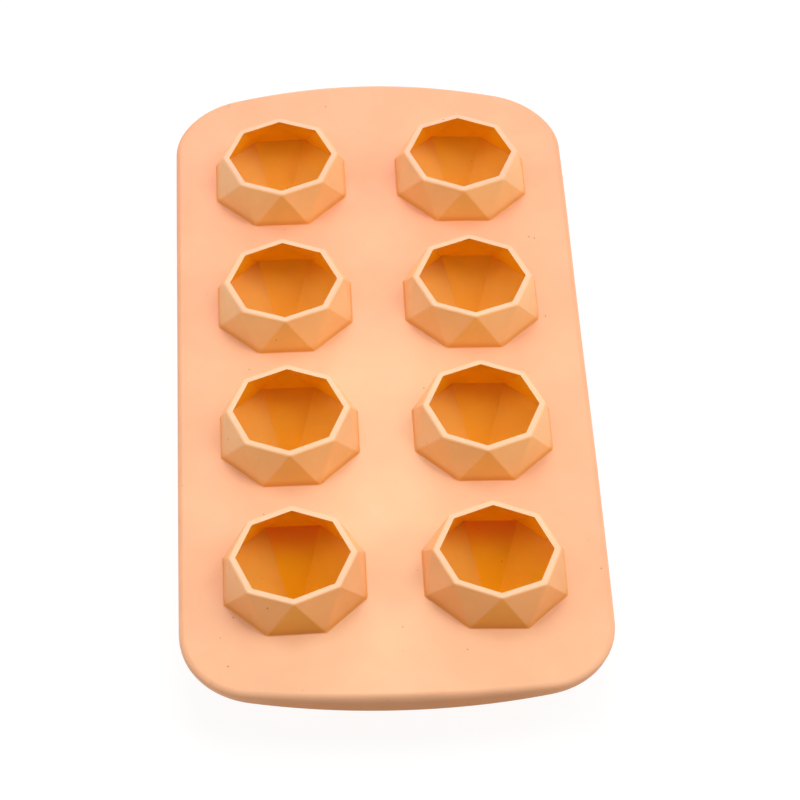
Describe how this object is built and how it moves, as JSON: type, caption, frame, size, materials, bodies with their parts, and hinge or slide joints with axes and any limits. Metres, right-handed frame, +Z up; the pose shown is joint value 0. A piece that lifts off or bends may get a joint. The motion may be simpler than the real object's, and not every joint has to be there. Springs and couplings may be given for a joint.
{
  "type": "resin casting mould",
  "caption": "Flexible silicone tray mould with a turned-down rim and raised octagonal gem-shaped cavities, for casting faceted resin gems.",
  "frame": {"origin": "on the floor under the middle of the tray, which stands on the flat tips of its cups", "axes": "+Z up out of the cavities' mouths, +Y along the tray's length away from row 1, +X across it to the right-hand column"},
  "size_m": [0.108, 0.22, 0.031],
  "materials": {
    "silicone": "matt, slightly translucent moulded silicone"
  },
  "bodies": {
    "root": {"deck": "silicone", "rim": "silicone", "crown_left_1": "silicone", "cup_left_1": "silicone", "crown_left_2": "silicone", "cup_left_2": "silicone", "crown_left_3": "silicone", "cup_left_3": "silicone", "crown_left_4": "silicone", "cup_left_4": "silicone", "crown_right_1": "silicone", "cup_right_1": "silicone", "crown_right_2": "silicone", "cup_right_2": "silicone", "crown_right_3": "silicone", "cup_right_3": "silicone", "crown_right_4": "silicone", "cup_right_4": "silicone"}
  },
  "joints": []
}
